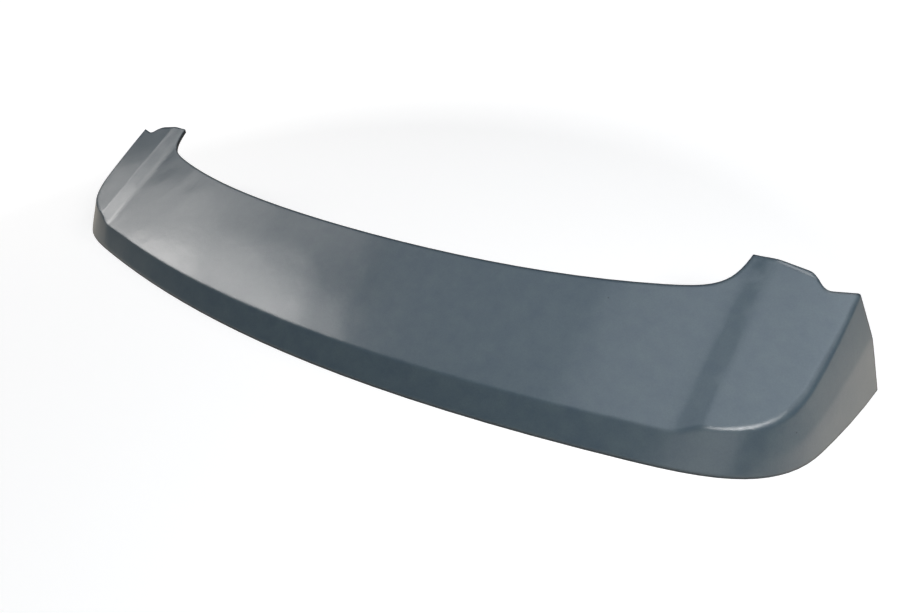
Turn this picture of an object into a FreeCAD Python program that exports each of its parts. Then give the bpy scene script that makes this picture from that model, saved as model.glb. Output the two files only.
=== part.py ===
import FreeCAD, Part
import math
import os

# Rear roof spoiler, moulded as one thin-walled shell that is open underneath and along its front edge.
# Sizes are in millimetres and angles in degrees.
# +X is the spoiler's right-hand end seen from behind, +Y points forward over the roof, +Z is up.
# While it is built, y = 0 is the middle of the trailing rim and z = 0 is the plane the rim stands on.
# At the end it is moved so that the origin is the middle of its footprint.
# An inset is measured in from the widest point of the rim, a set-back is measured back from the horn tips.

V = FreeCAD.Vector

# Overall size
half_width = 620.0
depth = 269.8

# Rim in plan: a shallow bow across the back, a rounded corner, then the foot of the cheek
rim_bow = 101.5
rim_bow_ease = -10.9
corner_start_inset = 198.2
corner_end_inset = 45.6
corner_end_y = 140.7
corner_handle_rear = 0.404
corner_handle_side = 0.391
cheek_foot_set_back = 6.4
cheek_bulge = 1.7

# Lean of the outer wall from the vertical, the foot standing further out than the crease
rear_lean = 34.1
corner_lean = 27.3
cheek_lean = 26.0

# Soft bend in the cheek, below which it stands steeper; it starts on the corner and climbs forward
cheek_foot_lean = 20.2
bend_start = 0.5
bend_front_height = 66.4
bend_half_width = 7.0

# Roof sheet on the centre line, and how it falls away towards the ends
roof_rear_height = 21.2
roof_pitch = 24.3
roof_hollow = 5.2e-5
crown_drop = 47.7
crown_twist = 0.059

# Raised end panels, each reached over a step with a broad foot and a tighter head
step_height_rear = 7.5
step_height_front = 5.9
step_foot_inset_rear = 188.5
step_foot_inset_front = 168.5
step_head_inset_rear = 156.0
step_head_inset_front = 125.5
panel_rise_rear = 0.040
panel_rise_front = 0.014

# Front edge in plan: a concave arc that runs out into two forward horns
front_arc_set_back = 111.3
front_arc_bow = 96.1
front_arc_ease = 56.3
front_arc_end_inset = 225.6
run_out_handle_arc = 0.516
run_out_handle_tip = 0.430
run_out_drift = 0.249
horn_tip_inset = 153.5
shoulder_inset = 100.2
shoulder_set_back = 3.5
notch_inset = 75.2
notch_set_back = 21.2
shoulder_handle = 0.30
notch_handle = 0.45
cheek_top_inset = 53.2
cheek_top_set_back = 15.1
horn_corner_radius = 2.0

# Lip rolled down along the front of each horn, slight at the tip and full at the shoulder
lip_width_tip = 2.0
lip_width = 8.0
lip_drop_tip = 0.6
lip_drop = 2.7
lip_fold = 0.6

# Wall and edge rounding
wall = 5.0
crease_radius = 3.5
end_crease_radius = 6.0
front_crease_radius = 2.0
inner_crease_radius = 3.0

# Allowances for the blanks, which leave no trace on the finished shell
blank_margin = 40.0
cheek_run_on = 60.0
below_rim = 12.0
wall_level_step = 6.0


def point_on_cubic(a, b, c, d, t):
    """Point at t on the cubic with ends a, d and handles b, c."""
    s = 1.0 - t
    return a * s**3 + b * (3.0 * s * s * t) + c * (3.0 * s * t * t) + d * t**3


def direction_on_cubic(a, b, c, d, t):
    """Direction of travel at t on the same cubic."""
    s = 1.0 - t
    return (b - a) * (s * s) + (c - b) * (2.0 * s * t) + (d - c) * (t * t)


def smooth_step(t):
    """Rises from 0 to 1 with level ends."""
    return t * t * (3.0 - 2.0 * t)


def tan_of(angle):
    """Tangent of an angle in degrees."""
    return math.tan(math.radians(angle))


def rear_bow(x):
    """How far the trailing rim has swept forward at x."""
    u = x / half_width
    return rim_bow * u**2 + rim_bow_ease * u**4


def rear_bow_direction(x):
    """Direction of the trailing rim in plan at x."""
    u = x / half_width
    return V(1.0, (2.0 * rim_bow * u + 4.0 * rim_bow_ease * u**3) / half_width, 0.0).normalize()


def cheek_frame():
    """Rear end, length, direction and outward normal of the cheek's foot."""
    rear = V(half_width - corner_end_inset, corner_end_y, 0.0)
    front = V(half_width, depth - cheek_foot_set_back, 0.0)
    along = (front - rear).normalize()
    return rear, (front - rear).Length, along, V(along.y, -along.x, 0.0)


def corner_points():
    """Ends and handles of the cubic that rounds the corner of the rim in plan."""
    rear, length, along, outward = cheek_frame()
    x = half_width - corner_start_inset
    start = V(x, rear_bow(x), 0.0)
    arrive = (along + outward * (4.0 * cheek_bulge / length)).normalize()
    chord = (rear - start).Length
    leave = rear_bow_direction(x)
    return start, start + leave * (corner_handle_rear * chord), rear - arrive * (corner_handle_side * chord), rear


def corner_lean_at(t):
    """Lean of the wall on the way round the corner."""
    blend = smooth_step(t)
    middle = (rear_lean + cheek_lean) / 2.0
    return rear_lean + (cheek_lean - rear_lean) * blend + (corner_lean - middle) * 4.0 * blend * (1.0 - blend)


def bend_height(s):
    """Height of the cheek's bend line at station s."""
    length = cheek_frame()[1]
    corner = Part.BezierCurve()
    corner.setPoles(list(corner_points()))
    lead = corner.length(bend_start, 1.0)
    if s <= 1.0 + bend_start:
        return 0.0
    if s < 2.0:
        run = corner.length(bend_start, s - 1.0)
    else:
        run = lead + length * (s - 2.0)
    return bend_front_height * run / (lead + length)


def rim_station(s):
    """Foot of the right-hand wall in plan, its direction and its lean.

    s runs 0 to 1 along the back, 1 to 2 round the corner, and on from 2 along the cheek, whose front is 3."""
    rear, length, along, outward = cheek_frame()
    if s <= 1.0:
        x = (half_width - corner_start_inset) * s
        return V(x, rear_bow(x), 0.0), rear_bow_direction(x), rear_lean
    if s >= 2.0:
        t = s - 2.0
        foot = rear + along * (length * t) + outward * (4.0 * cheek_bulge * t * (1.0 - t))
        travel = along + outward * (4.0 * cheek_bulge * (1.0 - 2.0 * t) / length)
        return foot, travel.normalize(), cheek_lean
    t = s - 1.0
    return point_on_cubic(*corner_points(), t), direction_on_cubic(*corner_points(), t).normalize(), corner_lean_at(t)


def below_bend(z, bend):
    """Height up the wall that counts as below a bend, passing smoothly into a constant above it."""
    reach = min(bend_half_width, bend)
    if reach <= 0.0:
        return 0.0

    def above(t):
        if t <= -reach:
            return 0.0
        return t if t >= reach else (t + reach)**2 / (4.0 * reach)

    return z - above(z - bend) + above(-bend)


def wall_point(s, z, thickness):
    """Point at height z on the outer wall, or on a wall that lies a thickness inside it."""
    foot, travel, lean = rim_station(abs(s))
    inwards = V(-travel.y, travel.x, 0.0)
    offset = tan_of(lean) * z + thickness / math.cos(math.radians(lean))
    offset -= (tan_of(cheek_lean) - tan_of(cheek_foot_lean)) * below_bend(z, bend_height(abs(s)))
    p = foot + inwards * offset
    return V(math.copysign(p.x, s) if s else 0.0, p.y, z)


def rim_stations():
    """Stations from the left cheek round the back to the right cheek, closest together at the corners."""
    last = 3.0 + cheek_run_on / cheek_frame()[1]
    right = [i / 6.0 for i in range(1, 6)]
    right += [1.0 + i / 12.0 for i in range(12)]
    right += [2.0 + i * (last - 2.0) / 9.0 for i in range(10)]
    return [-s for s in reversed(right)] + [0.0] + right


def wall_curve(z, thickness):
    """Smooth curve round the wall at height z, with the same parameters at every height."""
    stations = rim_stations()
    feet = [wall_point(s, 0.0, 0.0) for s in stations]
    run = [0.0]
    for a, b in zip(feet, feet[1:]):
        run.append(run[-1] + (b - a).Length)
    curve = Part.BSplineCurve()
    curve.interpolate(Points=[wall_point(s, z, thickness) for s in stations], Parameters=run)
    return curve


def wall_block(thickness, low, high):
    """Solid inside the leaning wall between two heights, closed across the front beyond the cheeks."""
    count = math.ceil((high - low) / wall_level_step)
    wires = []
    for i in range(count + 1):
        curve = wall_curve(low + (high - low) * i / count, thickness)
        wires.append(Part.Wire([curve.toShape(), Part.makeLine(curve.EndPoint, curve.StartPoint)]))
    return Part.makeLoft(wires, True, False)


def along_depth(rear_value, front_value, y):
    """Value at depth y of something that changes evenly from the trailing rim to the horn tips."""
    return rear_value + (front_value - rear_value) * y / depth


def step_foot(y):
    """Distance of the step's foot from the centre line at depth y."""
    return half_width - along_depth(step_foot_inset_rear, step_foot_inset_front, y)


def step_head(y):
    """Distance of the step's head from the centre line at depth y."""
    return half_width - along_depth(step_head_inset_rear, step_head_inset_front, y)


def roof_height(x, y):
    """Height of the outer roof sheet, with the raised panel and its step at each end."""
    u = x / half_width
    z = roof_rear_height + (tan_of(roof_pitch) + crown_twist * u**2) * y
    z -= roof_hollow * y**2 + crown_drop * u**2
    foot = step_foot(y)
    head = step_head(y)
    rise = along_depth(panel_rise_rear, panel_rise_front, y)
    t = min(max((abs(x) - foot) / (head - foot), 0.0), 1.0)
    z += along_depth(step_height_rear, step_height_front, y) * (4.0 * t**3 - 3.0 * t**4)
    z += rise * ((head - foot) * (t**3 - t**2) + max(abs(x) - head, 0.0))
    return z


def quartic_poles(p):
    """Control points of the quartic through five points evenly spaced in its parameter."""
    near_start = (p[1] * 48.0 - p[0] * 13.0 - p[2] * 36.0 + p[3] * 16.0 - p[4] * 3.0) * (1.0 / 12.0)
    middle = (p[0] * 13.0 - p[1] * 64.0 + p[2] * 120.0 - p[3] * 64.0 + p[4] * 13.0) * (1.0 / 18.0)
    near_end = (p[3] * 48.0 - p[4] * 13.0 - p[2] * 36.0 + p[1] * 16.0 - p[0] * 3.0) * (1.0 / 12.0)
    return [p[0], near_start, middle, near_end, p[4]]


def roof_patch(left, right, lowered):
    """Exact patch of the roof between two lines that run from back to front, quartic both ways."""
    back = -blank_margin
    run = depth + 2.0 * blank_margin
    rows = []
    for i in range(5):
        row = []
        for j in range(5):
            y = back + run * j / 4.0
            x = left(y) + (right(y) - left(y)) * i / 4.0
            row.append(V(x, y, roof_height(x, y) - lowered))
        rows.append(quartic_poles(row))
    columns = [quartic_poles([row[j] for row in rows]) for j in range(5)]
    poles = [[column[i] for column in columns] for i in range(5)]
    surface = Part.BSplineSurface()
    surface.buildFromPolesMultsKnots(poles, [5, 5], [5, 5], [0.0, 1.0], [0.0, 1.0], False, False, 4, 4)
    return surface.toShape()


def roof_block(lowered):
    """Solid under the roof sheet, as wide and deep as the blank it is trimmed from."""
    lines = [
        lambda y: -half_width - blank_margin,
        lambda y: -step_head(y),
        lambda y: -step_foot(y),
        step_foot,
        step_head,
        lambda y: half_width + blank_margin,
    ]
    down = V(0.0, 0.0, -2.0 * blank_height())
    slabs = [roof_patch(a, b, lowered).extrude(down) for a, b in zip(lines, lines[1:])]
    return slabs[0].multiFuse(slabs[1:])


def blank_height():
    """Height of the blanks, clear above the highest point of the roof sheet."""
    return roof_height(0.0, depth + blank_margin) + blank_margin


def on_step_line(p):
    """True where a point lies on the foot or head line of a step."""
    return min(abs(abs(p.x) - step_foot(p.y)), abs(abs(p.x) - step_head(p.y))) < 0.05


def crease_edges(solid, lowered):
    """Edges where the roof sheet meets the wall, without the step lines and the open front."""
    found = []
    for number, edge in enumerate(solid.Edges, 1):
        middle = edge.valueAt((edge.FirstParameter + edge.LastParameter) / 2.0)
        on_roof = abs(middle.z + lowered - roof_height(middle.x, middle.y)) < 0.05
        at_front = edge.BoundBox.YMin > depth + cheek_run_on / 4.0
        if on_roof and not at_front and not on_step_line(middle):
            found.append((number, edge))
    return found


def crease_radius_at(p):
    """Radius of the outer crease at the end of one of its edges."""
    if p.y > depth:
        return front_crease_radius
    if abs(p.x) < (step_foot(p.y) + step_head(p.y)) / 2.0:
        return crease_radius
    return end_crease_radius


def round_crease(solid, lowered, radius_at):
    """Round the crease with radii that change evenly along each of its edges."""
    document = FreeCAD.newDocument()
    base = document.addObject("Part::Feature", "Blank")
    base.Shape = solid
    rounding = document.addObject("Part::Fillet", "Crease")
    rounding.Base = base
    sizes = []
    for number, edge in crease_edges(solid, lowered):
        ends = edge.valueAt(edge.FirstParameter), edge.valueAt(edge.LastParameter)
        sizes.append((number, radius_at(ends[0]), radius_at(ends[1])))
    rounding.Edges = sizes
    document.recompute()
    shape = rounding.Shape.copy()
    FreeCAD.closeDocument(document.Name)
    return shape.Solids[0]


def front_arc():
    """The concave front edge as one quartic curve, exact from horn to horn."""
    a = half_width - front_arc_end_inset
    u = a / half_width
    bow = front_arc_bow * u**2
    ease = front_arc_ease * u**4
    heights = [bow + ease, -ease, ease - bow / 3.0, -ease, bow + ease]
    middle = depth - front_arc_set_back
    curve = Part.BezierCurve()
    curve.setPoles([V(a * (i / 2.0 - 1.0), middle + h, 0.0) for i, h in enumerate(heights)])
    return curve


def cubic_edge(a, b, c, d):
    """Edge along the cubic with ends a, d and handles b, c."""
    curve = Part.BezierCurve()
    curve.setPoles([a, b, c, d])
    return curve.toShape()


def from_end(inset, set_back):
    """Point in plan near the right-hand horn."""
    return V(half_width - inset, depth - set_back, 0.0)


def horn_edges():
    """Edges of the right-hand horn in plan, from the end of the front arc to past the cheek."""
    arc = front_arc()
    start = arc.EndPoint
    tip = from_end(horn_tip_inset, 0.0)
    shoulder = from_end(shoulder_inset, shoulder_set_back)
    notch = from_end(notch_inset, notch_set_back)
    cheek_top = from_end(cheek_top_inset, cheek_top_set_back)
    cheek_foot = from_end(0.0, cheek_foot_set_back)
    leave = arc.tangent(1.0)[0]
    arrive = V(run_out_drift, 1.0, 0.0).normalize()
    chord = (tip - start).Length
    arc_handle = start + leave * (run_out_handle_arc * chord)
    tip_handle = tip - arrive * (run_out_handle_tip * chord)
    front = (shoulder - tip).normalize()
    heel = (cheek_top - notch).normalize()
    drop = (notch - shoulder).Length
    leave_shoulder = shoulder + front * (shoulder_handle * drop)
    reach_notch = notch - heel * (notch_handle * drop)
    beyond = cheek_foot + (cheek_foot - cheek_top)
    return [
        cubic_edge(start, arc_handle, tip_handle, tip),
        Part.makeLine(tip, shoulder),
        cubic_edge(shoulder, leave_shoulder, reach_notch, notch),
        Part.makeLine(notch, cheek_top),
        Part.makeLine(cheek_top, beyond),
    ]


def mirrored(shape):
    """Copy on the other side of the centre line."""
    return shape.mirror(V(0.0, 0.0, 0.0), V(1.0, 0.0, 0.0))


def plan_prism():
    """Upright block whose front face is the spoiler's front edge in plan, with the horn corners eased."""
    right = horn_edges()
    left = [mirrored(edge) for edge in right]
    far = right[-1].Vertexes[-1].Point
    back = -blank_margin
    corners = [far, V(far.x, back, 0.0), V(-far.x, back, 0.0), V(-far.x, far.y, 0.0)]
    sides = [Part.makeLine(a, b) for a, b in zip(corners, corners[1:])]
    outline = Part.__sortEdges__([front_arc().toShape()] + right + sides + left)
    face = Part.Face(Part.Wire(outline))
    face.translate(V(0.0, 0.0, -below_rim))
    prism = face.extrude(V(0.0, 0.0, blank_height() + below_rim))
    eased = [from_end(horn_tip_inset, 0.0), from_end(cheek_top_inset, cheek_top_set_back)]
    uprights = []
    for edge in prism.Edges:
        a, b = edge.Vertexes[0].Point, edge.Vertexes[-1].Point
        at_corner = min(math.hypot(abs(a.x) - p.x, a.y - p.y) for p in eased) < 0.01
        if at_corner and abs(a.z - b.z) > below_rim:
            uprights.append(edge)
    return prism.makeFillet(horn_corner_radius, uprights)


def lip_cutter(lowered):
    """Waste above the right-hand lip, whose underside curls down from a fold on the roof sheet to the nose.

    The surface runs a little past the tip, the shoulder, the fold and the nose, so that it cuts cleanly."""
    tip = from_end(horn_tip_inset, 0.0)
    along = from_end(shoulder_inset, shoulder_set_back) - tip
    back = V(along.y, -along.x, 0.0).normalize()
    rows = []
    for i in range(16):
        t = -0.1 + 0.1 * i
        width = lip_width_tip + (lip_width - lip_width_tip) * t
        drop = lip_drop_tip + (lip_drop - lip_drop_tip) * t
        row = []
        for j in range(8):
            curl = -0.6 + 0.3 * j
            p = tip + along * t + back * (width * (1.0 - curl))
            fall = drop * (lip_fold * curl + (1.0 - lip_fold) * curl**2)
            row.append(V(p.x, p.y, roof_height(p.x, p.y) - fall - lowered))
        rows.append(row)
    underside = Part.BSplineSurface()
    underside.interpolate(rows)
    return underside.toShape().extrude(V(0.0, 0.0, blank_margin))


def roll_lips(block, lowered):
    """The block with the lip rolled down at the front of both horns."""
    cutter = lip_cutter(lowered)
    return block.cut(cutter).cut(mirrored(cutter))


def spoiler_shell():
    """The whole moulding: rounded outer form with rolled lips, hollowed to its wall and trimmed in plan."""
    high = blank_height()
    outer = wall_block(0.0, 0.0, high).common(roof_block(0.0)).Solids[0]
    outer = roll_lips(round_crease(outer, 0.0, crease_radius_at), 0.0)
    lowered = wall / math.cos(math.radians(roof_pitch))
    inner = wall_block(wall, -below_rim, high).common(roof_block(lowered)).Solids[0]
    inner = roll_lips(round_crease(inner, lowered, lambda p: inner_crease_radius), lowered)
    return outer.cut(inner).common(plan_prism()).Solids[0]


def main():
    os.makedirs("parts", exist_ok=True)
    shell = spoiler_shell()
    shell.translate(V(0.0, -depth / 2.0, 0.0))
    shell.exportStep("parts/spoiler_shell.step")


main()
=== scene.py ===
"""Car roof spoiler: a thin moulded shell in blue-grey primer, standing on a pale studio floor."""

import math

import bpy
from bpy.props import FloatProperty, FloatVectorProperty, PointerProperty
from mathutils import Matrix, Vector

bl_info = {
    "name": "Primed Roof Spoiler",
    "version": (1, 0, 0),
    "blender": (4, 5, 0),
    "location": "3D View > Sidebar > Spoiler",
    "description": "Finishes the packed spoiler shell in primer and sets up its studio",
    "category": "Object",
}

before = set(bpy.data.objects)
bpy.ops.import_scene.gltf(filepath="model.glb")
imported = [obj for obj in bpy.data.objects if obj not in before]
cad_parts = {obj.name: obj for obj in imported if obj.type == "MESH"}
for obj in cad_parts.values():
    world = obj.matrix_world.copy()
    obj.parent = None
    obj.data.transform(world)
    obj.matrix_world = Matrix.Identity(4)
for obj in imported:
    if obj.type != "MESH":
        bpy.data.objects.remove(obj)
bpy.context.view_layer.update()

MM = 0.001
WHITE = (1.0, 1.0, 1.0, 1.0)

# Nearly all of a noise texture lies between these two values, with its mean halfway.
NOISE_LOW, NOISE_HIGH = 0.3, 0.7


def linear(hex_code):
    """Linear RGB of an sRGB colour written as #rrggbb."""
    values = [int(hex_code[i:i + 2], 16) / 255.0 for i in (1, 3, 5)]
    return tuple(v / 12.92 if v <= 0.04045 else ((v + 0.055) / 1.055) ** 2.4 for v in values)


def add_node(tree, kind, settings=None, inputs=None):
    """Add one node with its settings, and its inputs as values or as the outputs that feed them.

    An input is named, or numbered where the node has several of one name."""
    made = tree.nodes.new(kind)
    for name, value in (settings or {}).items():
        setattr(made, name, value)
    for name, value in (inputs or {}).items():
        if isinstance(value, bpy.types.NodeSocket):
            tree.links.new(value, made.inputs[name])
        else:
            made.inputs[name].default_value = value
    return made


def empty_tree(owner):
    """Node tree of a material or world, cleared of its first nodes."""
    owner.use_nodes = True
    owner.node_tree.nodes.clear()
    return owner.node_tree


class SpoilerFinish(bpy.types.PropertyGroup):
    """Primer on the moulded shell"""

    primer_colour: FloatVectorProperty(
        name="Primer", description="Blue-grey primer at its full thickness", subtype="COLOR",
        default=linear("#56666f"), min=0.0, max=1.0,
    )
    thin_colour: FloatVectorProperty(
        name="Thin primer", description="Primer where a spray pass laid it thinner", subtype="COLOR",
        default=linear("#4e5e6a"), min=0.0, max=1.0,
    )
    raw_colour: FloatVectorProperty(
        name="Raw moulding", description="Bare polyurethane inside the shell", subtype="COLOR",
        default=linear("#2d3135"), min=0.0, max=1.0,
    )
    # Painted light: this paler colour stands in for the brighter light that the steeper foot of each cheek
    # catches below the bend.
    painted_lit_foot_colour: FloatVectorProperty(
        name="Rubbed primer", description="Primer rubbed down on the foot of the cheeks", subtype="COLOR",
        default=linear("#84878a"), min=0.0, max=1.0,
    )
    painted_lit_foot_share: FloatProperty(
        name="Rubbed share", description="How far the foot of the cheeks is rubbed to that colour",
        default=0.36, min=0.0, max=1.0, subtype="FACTOR",
    )
    dust_colour: FloatVectorProperty(
        name="Dust", description="Pale specks caught in the primer", subtype="COLOR",
        default=linear("#8b979f"), min=0.0, max=1.0,
    )
    pit_colour: FloatVectorProperty(
        name="Pits", description="Dark pinholes in the primer", subtype="COLOR",
        default=linear("#33404a"), min=0.0, max=1.0,
    )
    roughness: FloatProperty(
        name="Roughness", description="Mean roughness of the satin primer", default=0.32,
        min=0.0, max=1.0, subtype="FACTOR",
    )
    skin: FloatProperty(
        name="Skin", description="Share of the primer that has cured to a smoother skin", default=0.6,
        min=0.0, max=1.0, subtype="FACTOR",
    )
    skin_roughness: FloatProperty(
        name="Skin roughness", description="Roughness of that skin", default=0.16,
        min=0.0, max=1.0, subtype="FACTOR",
    )
    grain_size: FloatProperty(
        name="Grain", description="Size of the sprayed grain, drawn coarser than it is", default=1.5 * MM,
        min=0.2 * MM, max=10.0 * MM, subtype="DISTANCE", unit="LENGTH",
    )
    mottle_size: FloatProperty(
        name="Mottle", description="Size of the patches left by the spray passes", default=18.0 * MM,
        min=5.0 * MM, max=500.0 * MM, subtype="DISTANCE", unit="LENGTH",
    )
    wave_height: FloatProperty(
        name="Waviness", description="Height of the moulding's slight waves, which break up the sheen",
        default=0.2 * MM, min=0.0, max=2.0 * MM, subtype="DISTANCE", unit="LENGTH",
    )
    sag_size: FloatProperty(
        name="Sag size", description="Size of the shallow hollows in the moulding", default=75.0 * MM,
        min=10.0 * MM, max=1000.0 * MM, subtype="DISTANCE", unit="LENGTH",
    )
    sag_height: FloatProperty(
        name="Sag", description="Depth of the shallow hollows, which part the sheen into lobes",
        default=1.0 * MM, min=0.0, max=10.0 * MM, subtype="DISTANCE", unit="LENGTH",
    )
    speck_spacing: FloatProperty(
        name="Speck spacing", description="Mean distance between dust specks and pinholes",
        default=34.0 * MM, min=5.0 * MM, max=500.0 * MM, subtype="DISTANCE", unit="LENGTH",
    )
    speck_size: FloatProperty(
        name="Speck size", description="Radius of a speck or pinhole", default=1.1 * MM,
        min=0.1 * MM, max=5.0 * MM, subtype="DISTANCE", unit="LENGTH",
    )
    # Over this width the bevel rolls the trimmed edges off, and painted shade darkens them.
    edge_width: FloatProperty(
        name="Edge roll", description="Width over which a trimmed edge rolls off and its primer gets thin",
        default=5.0 * MM, min=0.1 * MM, max=10.0 * MM, subtype="DISTANCE", unit="LENGTH",
    )


class SpoilerStudio(bpy.types.PropertyGroup):
    """Floor, lamps and camera"""

    floor_colour: FloatVectorProperty(
        name="Floor", description="Pale paint of the studio floor", subtype="COLOR",
        default=linear("#e6ddd0"), min=0.0, max=1.0,
    )
    floor_size: FloatProperty(
        name="Floor size", description="Side of the square floor", default=14.0, min=4.0, max=40.0,
        subtype="DISTANCE", unit="LENGTH",
    )
    left_power: FloatProperty(
        name="Left bank", description="Power of the seven softboxes that lay the sheen on the left third",
        default=17.4, min=0.0, subtype="POWER", unit="POWER",
    )
    top_power: FloatProperty(
        name="Overhead softboxes", description="Power of the three large softboxes above",
        default=16.9, min=0.0, subtype="POWER", unit="POWER",
    )
    right_power: FloatProperty(
        name="Right softboxes", description="Power of the five that pick out the right-hand crease",
        default=3.05, min=0.0, subtype="POWER", unit="POWER",
    )
    crease_place: FloatVectorProperty(
        name="Crease", description="Point on the right-hand crease that those five face",
        default=(0.50, -0.04, 0.05), subtype="TRANSLATION", unit="LENGTH",
    )
    crease_distance: FloatProperty(
        name="Crease distance", description="How far from it they stand, near enough to spare the left end",
        default=0.8, min=0.3, max=5.0, subtype="DISTANCE", unit="LENGTH",
    )
    fill_power: FloatProperty(
        name="Fills", description="Power of the three that open up the back, the front and the right side",
        default=10.4, min=0.0, subtype="POWER", unit="POWER",
    )
    warm_tint: FloatVectorProperty(
        name="Warm lamps", description="Light of the left bank", subtype="COLOR",
        default=linear("#fffbf7"), min=0.0, max=1.0,
    )
    cool_tint: FloatVectorProperty(
        name="Cool lamps", description="Light of the overhead softboxes",
        subtype="COLOR", default=linear("#f0f7ff"), min=0.0, max=1.0,
    )
    room_light: FloatProperty(
        name="Room light", description="Strength of the even light from the room", default=0.03,
        min=0.0, max=5.0,
    )
    camera_place: FloatVectorProperty(
        name="Camera place", description="Where the camera stands, from the middle of the footprint",
        default=(0.46866, -0.4579, 0.43299), subtype="TRANSLATION", unit="LENGTH",
    )
    camera_azimuth: FloatProperty(
        name="Camera azimuth", description="Turn of the camera from looking straight forward",
        default=math.radians(32.127), subtype="ANGLE", unit="ROTATION",
    )
    camera_elevation: FloatProperty(
        name="Camera elevation", description="Angle by which the camera looks down",
        default=math.radians(35.972), subtype="ANGLE", unit="ROTATION",
    )
    camera_roll: FloatProperty(
        name="Camera roll", description="Lean of the camera about its own line of sight",
        default=math.radians(-2.237), subtype="ANGLE", unit="ROTATION",
    )
    camera_lens: FloatProperty(
        name="Lens", description="Focal length on a 36 mm wide sensor", default=21.762,
        min=10.0, max=200.0, subtype="DISTANCE_CAMERA", unit="CAMERA",
    )


def specks(tree, where, spacing, size, chosen_above, chosen_below):
    """Mask of small round specks, one in each Voronoi cell whose random value is between two limits."""
    cells = add_node(tree, "ShaderNodeTexVoronoi", None, {"Vector": where, "Scale": 1.0 / spacing})
    radius = size / spacing
    dot = add_node(tree, "ShaderNodeMapRange", None, {
        "Value": cells.outputs["Distance"], "From Min": radius, "From Max": 0.5 * radius,
    }).outputs["Result"]
    pick = add_node(tree, "ShaderNodeSeparateColor", None, {"Color": cells.outputs["Color"]}).outputs["Red"]
    above = add_node(tree, "ShaderNodeMath", {"operation": "GREATER_THAN"}, {
        0: pick, 1: chosen_above}).outputs[0]
    below = add_node(tree, "ShaderNodeMath", {"operation": "LESS_THAN"}, {
        0: pick, 1: chosen_below}).outputs[0]
    both = add_node(tree, "ShaderNodeMath", {"operation": "MULTIPLY"}, {0: above, 1: below}).outputs[0]
    return add_node(tree, "ShaderNodeMath", {"operation": "MULTIPLY"}, {0: dot, 1: both}).outputs[0]


def blend(tree, share, first, second):
    """Colour that goes from the first to the second as the share goes from 0 to 1."""
    mixed = add_node(tree, "ShaderNodeMix", {"data_type": "RGBA"}, {0: share, 6: first, 7: second})
    return mixed.outputs[2]


# The soft bend across each cheek: its height halfway along the depth, its slope, and how far to each
# side of it the tone fades.
BEND_HEIGHT = 29.0 * MM
BEND_SLOPE = 0.30
BEND_FADE = 4.0 * MM
# A face is no cheek below the first of these sideways shares of its normal, and all cheek above the second.
CHEEK_FROM, CHEEK_FULL = 0.5, 0.85


def cheek_foot(tree, where, facing):
    """Mask of the foot of the cheeks, under the soft bend that climbs forward across them, where painted
    light is laid.
    """
    place = add_node(tree, "ShaderNodeSeparateXYZ", None, {"Vector": where})
    climb = add_node(tree, "ShaderNodeMath", {"operation": "MULTIPLY_ADD"}, {
        0: place.outputs["Y"], 1: BEND_SLOPE, 2: BEND_HEIGHT}).outputs[0]
    depth = add_node(tree, "ShaderNodeMath", {"operation": "SUBTRACT"}, {
        0: climb, 1: place.outputs["Z"]}).outputs[0]
    under = add_node(tree, "ShaderNodeMapRange", {"interpolation_type": "SMOOTHSTEP"}, {
        "Value": depth, "From Min": -BEND_FADE, "From Max": BEND_FADE}).outputs["Result"]
    sideways = add_node(tree, "ShaderNodeSeparateXYZ", None, {"Vector": facing}).outputs["X"]
    sideways = add_node(tree, "ShaderNodeMath", {"operation": "ABSOLUTE"}, {0: sideways}).outputs[0]
    side = add_node(tree, "ShaderNodeMapRange", {"interpolation_type": "SMOOTHSTEP"}, {
        "Value": sideways, "From Min": CHEEK_FROM, "From Max": CHEEK_FULL}).outputs["Result"]
    return add_node(tree, "ShaderNodeMath", {"operation": "MULTIPLY"}, {0: under, 1: side}).outputs[0]


# Share by which the sprayed grain lightens and darkens the primer, over the middle of its noise.
GRAIN_SHADE = 0.07
GRAIN_LOW, GRAIN_HIGH = 0.25, 0.75
# Random value of a cell above which it holds a dust speck, and below which it holds a pinhole.
DUST_ABOVE = 0.94
PITS_BELOW = 0.18


def primer_colour(tree, finish, where, facing, mottle, grain):
    """Colour of the primer: spray patches, painted light on the steeper foot of the cheeks, grain, dust
    specks and pinholes.
    """
    patches = add_node(tree, "ShaderNodeMapRange", None, {
        "Value": mottle, "From Min": NOISE_LOW, "From Max": NOISE_HIGH}).outputs["Result"]
    primer = blend(tree, patches, (*finish.thin_colour, 1.0), (*finish.primer_colour, 1.0))
    # Painted light: the foot of each cheek is painted paler where its steeper face catches more light.
    brightened = add_node(tree, "ShaderNodeMath", {"operation": "MULTIPLY"}, {
        0: cheek_foot(tree, where, facing), 1: finish.painted_lit_foot_share}).outputs[0]
    primer = blend(tree, brightened, primer, (*finish.painted_lit_foot_colour, 1.0))
    grained = add_node(tree, "ShaderNodeMapRange", None, {
        "Value": grain, "From Min": GRAIN_LOW, "From Max": GRAIN_HIGH,
        "To Min": 1.0 - GRAIN_SHADE, "To Max": 1.0 + GRAIN_SHADE,
    }).outputs["Result"]
    primer = add_node(tree, "ShaderNodeVectorMath", {"operation": "SCALE"}, {
        0: primer, "Scale": grained}).outputs[0]
    pale = specks(tree, where, finish.speck_spacing, finish.speck_size, DUST_ABOVE, 1.0)
    dark = specks(tree, where, finish.speck_spacing, finish.speck_size, 0.0, PITS_BELOW)
    primer = blend(tree, pale, primer, (*finish.dust_colour, 1.0))
    return blend(tree, dark, primer, (*finish.pit_colour, 1.0))


# Product of the rolled-off normal and the face's own where painted shade along an edge starts, and where it
# is darkest, and the share of the moulding's dark colour painted there.
EDGE_SHADE_STARTS, EDGE_SHADE_ENDS = 0.93, 0.78
EDGE_SHADE_SHARE = 0.75
# Upward share of the normal below which the spray thins out, and below which, as on all of the inside, the
# moulding is bare but for a little overspray.
SPRAY_ENDS, BARE_FROM = 0.16, 0.02
BARE_SHARE = 0.9


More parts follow.
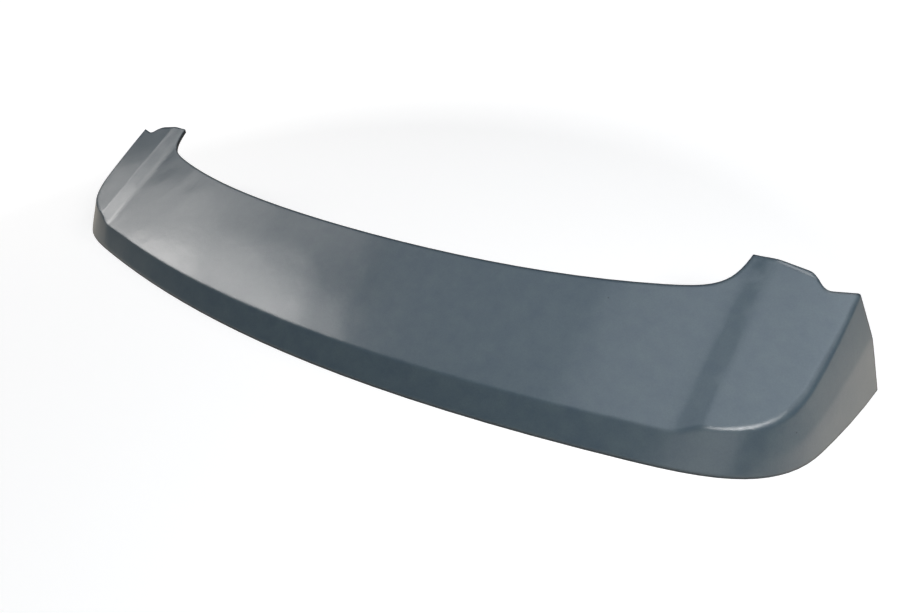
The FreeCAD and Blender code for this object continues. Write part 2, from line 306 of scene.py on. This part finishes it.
def unprimed_inside_and_edge_shade(tree, soft, facing):
    """Mask of the unprimed moulding inside, and of painted shade along the trimmed edges."""
    match = add_node(tree, "ShaderNodeVectorMath", {"operation": "DOT_PRODUCT"}, {
        0: soft, 1: facing}).outputs["Value"]
    # Painted shade: the trimmed edges are darkened towards the moulding's colour.
    edge_shade = add_node(tree, "ShaderNodeMapRange", None, {
        "Value": match, "From Min": EDGE_SHADE_STARTS, "From Max": EDGE_SHADE_ENDS, "To Max": EDGE_SHADE_SHARE,
    }).outputs["Result"]
    upward = add_node(tree, "ShaderNodeSeparateXYZ", None, {"Vector": facing}).outputs["Z"]
    inside = add_node(tree, "ShaderNodeMapRange", None, {
        "Value": upward, "From Min": SPRAY_ENDS, "From Max": BARE_FROM, "To Max": BARE_SHARE,
    }).outputs["Result"]
    return add_node(tree, "ShaderNodeMath", {"operation": "MAXIMUM"}, {0: inside, 1: edge_shade}).outputs[0]


def bump(tree, height, distance, under, strength=1.0):
    """Normal of a surface that a pattern raises by a distance over the normal under it."""
    return add_node(tree, "ShaderNodeBump", None, {
        "Height": height, "Strength": strength, "Distance": distance, "Normal": under}).outputs["Normal"]


# Change of roughness over the spray patches, and how much rougher the bare moulding is.
PATCH_ROUGHNESS = 0.025
BARE_ROUGHNESS = 0.25
# Height of the sprayed grain, and how strongly it shows.
GRAIN_HEIGHT = 0.03 * MM
GRAIN_STRENGTH = 0.3
PAINT_IOR = 1.5


def primer_material(finish):
    """Satin two-pack primer sprayed on a moulded polyurethane shell.

    It is matt enough to lose reflections. A rough body under a smoother cured skin spreads a lamp into a
    broad soft sheen with a brighter core, and the moulding's shallow hollows part that sheen into lobes.
    Spray passes leave faint patches in it, and dust and pinholes leave specks. The foot of the cheeks is
    painted paler, as painted light for the steeper face there. The trimmed edges roll off, and painted shade
    darkens them towards the moulding's colour. The inside was never primed and is unprimed moulding with a
    little overspray. The grain is about 0.3 mm in real life and is drawn several times coarser so that it
    shows."""
    material = bpy.data.materials.new("Satin primer sprayed on moulded polyurethane")
    tree = empty_tree(material)
    where = add_node(tree, "ShaderNodeTexCoord").outputs["Object"]
    facing = add_node(tree, "ShaderNodeNewGeometry").outputs["Normal"]
    mottle = add_node(tree, "ShaderNodeTexNoise", None, {
        "Vector": where, "Scale": 1.0 / finish.mottle_size, "Detail": 5.0, "Roughness": 0.62,
    }).outputs["Fac"]
    grain = add_node(tree, "ShaderNodeTexNoise", None, {
        "Vector": where, "Scale": 1.0 / finish.grain_size, "Detail": 2.0, "Roughness": 0.6,
    }).outputs["Fac"]
    hollows = add_node(tree, "ShaderNodeTexNoise", None, {
        "Vector": where, "Scale": 1.0 / finish.sag_size, "Detail": 1.0}).outputs["Fac"]

    soft = add_node(tree, "ShaderNodeBevel", {"samples": 6}, {"Radius": finish.edge_width}).outputs["Normal"]
    unprimed_and_edge_shade = unprimed_inside_and_edge_shade(tree, soft, facing)
    primer = primer_colour(tree, finish, where, facing, mottle, grain)
    # The inside takes the moulding's own dark colour. Along the trimmed edges that colour is painted shade.
    colour = blend(tree, unprimed_and_edge_shade, primer, (*finish.raw_colour, 1.0))

    rough = add_node(tree, "ShaderNodeMapRange", None, {
        "Value": mottle, "From Min": NOISE_LOW, "From Max": NOISE_HIGH,
        "To Min": finish.roughness - PATCH_ROUGHNESS, "To Max": finish.roughness + PATCH_ROUGHNESS,
    }).outputs["Result"]
    rough = add_node(tree, "ShaderNodeMath", {"operation": "MULTIPLY_ADD"}, {
        0: unprimed_and_edge_shade, 1: BARE_ROUGHNESS, 2: rough}).outputs[0]
    skin = add_node(tree, "ShaderNodeMapRange", None, {
        "Value": unprimed_and_edge_shade, "From Max": EDGE_SHADE_SHARE, "To Min": finish.skin, "To Max": 0.0}).outputs["Result"]

    sagged = bump(tree, hollows, finish.sag_height, soft)
    waved = bump(tree, mottle, finish.wave_height, sagged)
    relief = bump(tree, grain, GRAIN_HEIGHT, waved, GRAIN_STRENGTH)
    shader = add_node(tree, "ShaderNodeBsdfPrincipled", None, {
        "Base Color": colour, "Roughness": rough, "Normal": relief, "IOR": PAINT_IOR,
        "Coat Weight": skin, "Coat Roughness": finish.skin_roughness, "Coat Normal": relief,
    }).outputs["BSDF"]
    add_node(tree, "ShaderNodeOutputMaterial", None, {"Surface": shader})
    return material


class SPOILER_OT_finish_shell(bpy.types.Operator):
    """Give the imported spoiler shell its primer"""

    bl_idname = "spoiler.finish_shell"
    bl_label = "Finish the shell"

    def execute(self, context):
        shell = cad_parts["spoiler_shell"]
        shell.data.materials.clear()
        shell.data.materials.append(primer_material(context.scene.spoiler_finish))
        return {"FINISHED"}


# The paint that the camera sees on the floor, and the light added to it: less within the first distance
# of the object, and full white beyond the second.
SEEN_PAINT = (0.7, 0.7, 0.7, 1.0)
NEAR_LIFT, FAR_LIFT = 0.54, 1.0
LIFT_FROM, LIFT_FULL = 0.7, 1.6


def floor_material(studio):
    """Matt white emulsion rolled on a studio floor.

    It is lit like any paint, also where the primer mirrors it. Seen from the camera it is lifted to the
    white of the backdrop, a little less round the object, so that only its soft shadow is left there."""
    material = bpy.data.materials.new("Matt white emulsion rolled on a floor")
    tree = empty_tree(material)
    paint = add_node(tree, "ShaderNodeBsdfDiffuse", None, {
        "Color": (*studio.floor_colour, 1.0)}).outputs["BSDF"]
    seen_paint = add_node(tree, "ShaderNodeBsdfDiffuse", None, {"Color": SEEN_PAINT}).outputs["BSDF"]
    where = add_node(tree, "ShaderNodeTexCoord").outputs["Object"]
    away = add_node(tree, "ShaderNodeVectorMath", {"operation": "LENGTH"}, {0: where}).outputs["Value"]
    level = add_node(tree, "ShaderNodeMapRange", None, {
        "Value": away, "From Min": LIFT_FROM, "From Max": LIFT_FULL,
        "To Min": NEAR_LIFT, "To Max": FAR_LIFT,
    }).outputs["Result"]
    lift = add_node(tree, "ShaderNodeEmission", None, {"Color": WHITE, "Strength": level}).outputs["Emission"]
    lifted = add_node(tree, "ShaderNodeAddShader", None, {0: seen_paint, 1: lift}).outputs[0]
    seen = add_node(tree, "ShaderNodeLightPath").outputs["Is Camera Ray"]
    surface = add_node(tree, "ShaderNodeMixShader", None, {0: seen, 1: paint, 2: lifted}).outputs[0]
    add_node(tree, "ShaderNodeOutputMaterial", None, {"Surface": surface})
    return material


def studio_world(studio):
    """Dim even room that the camera sees as a white backdrop."""
    world = bpy.data.worlds.new("Studio room")
    tree = empty_tree(world)
    room = add_node(tree, "ShaderNodeBackground", None, {
        "Color": WHITE, "Strength": studio.room_light}).outputs[0]
    backdrop = add_node(tree, "ShaderNodeBackground", None, {"Color": WHITE, "Strength": 1.0}).outputs[0]
    path = add_node(tree, "ShaderNodeLightPath")
    sky = add_node(tree, "ShaderNodeMixShader", None, {
        0: path.outputs["Is Camera Ray"], 1: room, 2: backdrop}).outputs[0]
    add_node(tree, "ShaderNodeOutputWorld", None, {"Surface": sky})
    return world


# Lamps face the middle of the footprint from this far, unless they say otherwise.
MIDDLE = (0.0, 0.0, 0.0)
FAR_LAMP = 2.4
# Side of a softbox of the left bank, and of one of those near the crease.
LEFT_SIZE = 0.6
CREASE_SIZE = 0.155


def softbox(name, azimuth, elevation, size, power, tint=(1.0, 1.0, 1.0), aim=MIDDLE, distance=FAR_LAMP):
    """Square softbox that faces the point it is aimed at.

    Its azimuth is measured round from straight behind the spoiler towards its right-hand end."""
    a, e = math.radians(azimuth), math.radians(elevation)
    away = Vector((math.sin(a) * math.cos(e), -math.cos(a) * math.cos(e), math.sin(e)))
    data = bpy.data.lights.new(name, "AREA")
    data.shape = "SQUARE"
    data.size = size
    data.energy = power
    data.color = tint
    lamp = bpy.data.objects.new(name, data)
    lamp.location = Vector(aim) + away * distance
    lamp.rotation_euler = away.to_track_quat("Z", "Y").to_euler()
    bpy.context.scene.collection.objects.link(lamp)


def left_bank(studio):
    """Seven softboxes that lay the sheen on the left third, each with its share of the bank's power."""
    for name, azimuth, elevation, share in (
        ("Left softbox", -80.0, 42.0, 0.25),
        ("Left softbox, below", -80.0, 26.0, 0.25),
        ("Left softbox, above", -72.0, 50.0, 0.206),
        ("Left softbox, beside", -88.0, 26.0, 0.088),
        ("Left softbox, high beside", -88.0, 34.0, 0.056),
        ("Left softbox, beyond", -104.0, 34.0, 0.08),
        ("Left softbox, high beyond", -104.0, 50.0, 0.087),
    ):
        softbox(name, azimuth, elevation, LEFT_SIZE, share * studio.left_power, studio.warm_tint)


def overhead_lamps(studio):
    """Three large softboxes above, which set the tone of the roof side."""
    for name, azimuth, elevation, size, share in (
        ("Overhead left softbox", -90.0, 75.0, 1.2, 0.19),
        ("Overhead right softbox", 90.0, 70.0, 1.6, 0.68),
        ("Overhead front softbox", 105.0, 52.0, 0.8, 0.13),
    ):
        softbox(name, azimuth, elevation, size, share * studio.top_power, studio.cool_tint)


def crease_lamps(studio):
    """Five small softboxes in a row, which draw out the highlight on the right-hand crease."""
    for name, azimuth, elevation, share in (
        ("Right softbox", 48.0, 49.0, 0.33),
        ("Right softbox, beside", 59.0, 49.5, 0.14),
        ("Right softbox, beyond", 70.0, 50.0, 0.15),
        ("Right softbox, behind", 38.0, 48.0, 0.23),
        ("Right softbox, far behind", 28.0, 47.0, 0.15),
    ):
        softbox(name, azimuth, elevation, CREASE_SIZE, share * studio.right_power,
                aim=studio.crease_place, distance=studio.crease_distance)


def fill_lamps(studio):
    """Three softboxes that open up the back, the front and the right side."""
    for name, azimuth, elevation, size, share in (
        ("Right fill", 40.0, 8.0, 1.0, 0.30),
        ("Front fill", 150.0, 45.0, 0.8, 0.53),
        ("Side fill", 97.0, 36.0, 0.8, 0.17),
    ):
        softbox(name, azimuth, elevation, size, share * studio.fill_power)


# Width in millimetres of the sensor that the lens is given for.
SENSOR_WIDTH = 36.0


def studio_camera(studio):
    """Camera at the photograph's place and angle."""
    data = bpy.data.cameras.new("Studio camera")
    data.sensor_width = SENSOR_WIDTH
    data.lens = studio.camera_lens
    data.clip_start = 0.01
    camera = bpy.data.objects.new("Studio camera", data)
    turn = Matrix.Rotation(studio.camera_azimuth, 3, "Z")
    turn = turn @ Matrix.Rotation(math.radians(90.0) - studio.camera_elevation, 3, "X")
    turn = turn @ Matrix.Rotation(studio.camera_roll, 3, "Z")
    camera.rotation_euler = turn.to_euler()
    camera.location = studio.camera_place
    bpy.context.scene.collection.objects.link(camera)
    return camera


class SPOILER_OT_set_stage(bpy.types.Operator):
    """Put down the floor and set up the lamps and the camera"""

    bl_idname = "spoiler.set_stage"
    bl_label = "Set the stage"

    def execute(self, context):
        studio = context.scene.spoiler_studio
        bpy.ops.object.select_all(action="DESELECT")
        bpy.ops.mesh.primitive_plane_add(size=studio.floor_size, location=(0.0, 0.0, 0.0))
        floor = context.object
        floor.name = "studio_floor"
        floor.data.materials.append(floor_material(studio))
        context.scene.world = studio_world(studio)
        left_bank(studio)
        overhead_lamps(studio)
        crease_lamps(studio)
        fill_lamps(studio)
        context.scene.camera = studio_camera(studio)
        context.scene.view_settings.view_transform = "Standard"
        return {"FINISHED"}


class SPOILER_PT_panel(bpy.types.Panel):
    """Lists the spoiler's settings and the steps that use them"""

    bl_idname = "SPOILER_PT_panel"
    bl_label = "Roof Spoiler"
    bl_space_type = "VIEW_3D"
    bl_region_type = "UI"
    bl_category = "Spoiler"

    def draw(self, context):
        for settings, step in (
            (context.scene.spoiler_finish, "spoiler.finish_shell"),
            (context.scene.spoiler_studio, "spoiler.set_stage"),
        ):
            box = self.layout.box()
            for name in settings.__annotations__:
                box.prop(settings, name)
            box.operator(step)


CLASSES = (
    SpoilerFinish,
    SpoilerStudio,
    SPOILER_OT_finish_shell,
    SPOILER_OT_set_stage,
    SPOILER_PT_panel,
)


def register():
    """Register the classes and hang the settings on the scene."""
    for cls in CLASSES:
        bpy.utils.register_class(cls)
    bpy.types.Scene.spoiler_finish = PointerProperty(type=SpoilerFinish)
    bpy.types.Scene.spoiler_studio = PointerProperty(type=SpoilerStudio)


def unregister():
    """Take the settings off the scene and unregister the classes."""
    del bpy.types.Scene.spoiler_studio
    del bpy.types.Scene.spoiler_finish
    for cls in reversed(CLASSES):
        bpy.utils.unregister_class(cls)


def main():
    """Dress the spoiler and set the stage."""
    register()
    bpy.ops.spoiler.finish_shell()
    bpy.ops.spoiler.set_stage()


if __name__ == "__main__":
    main()
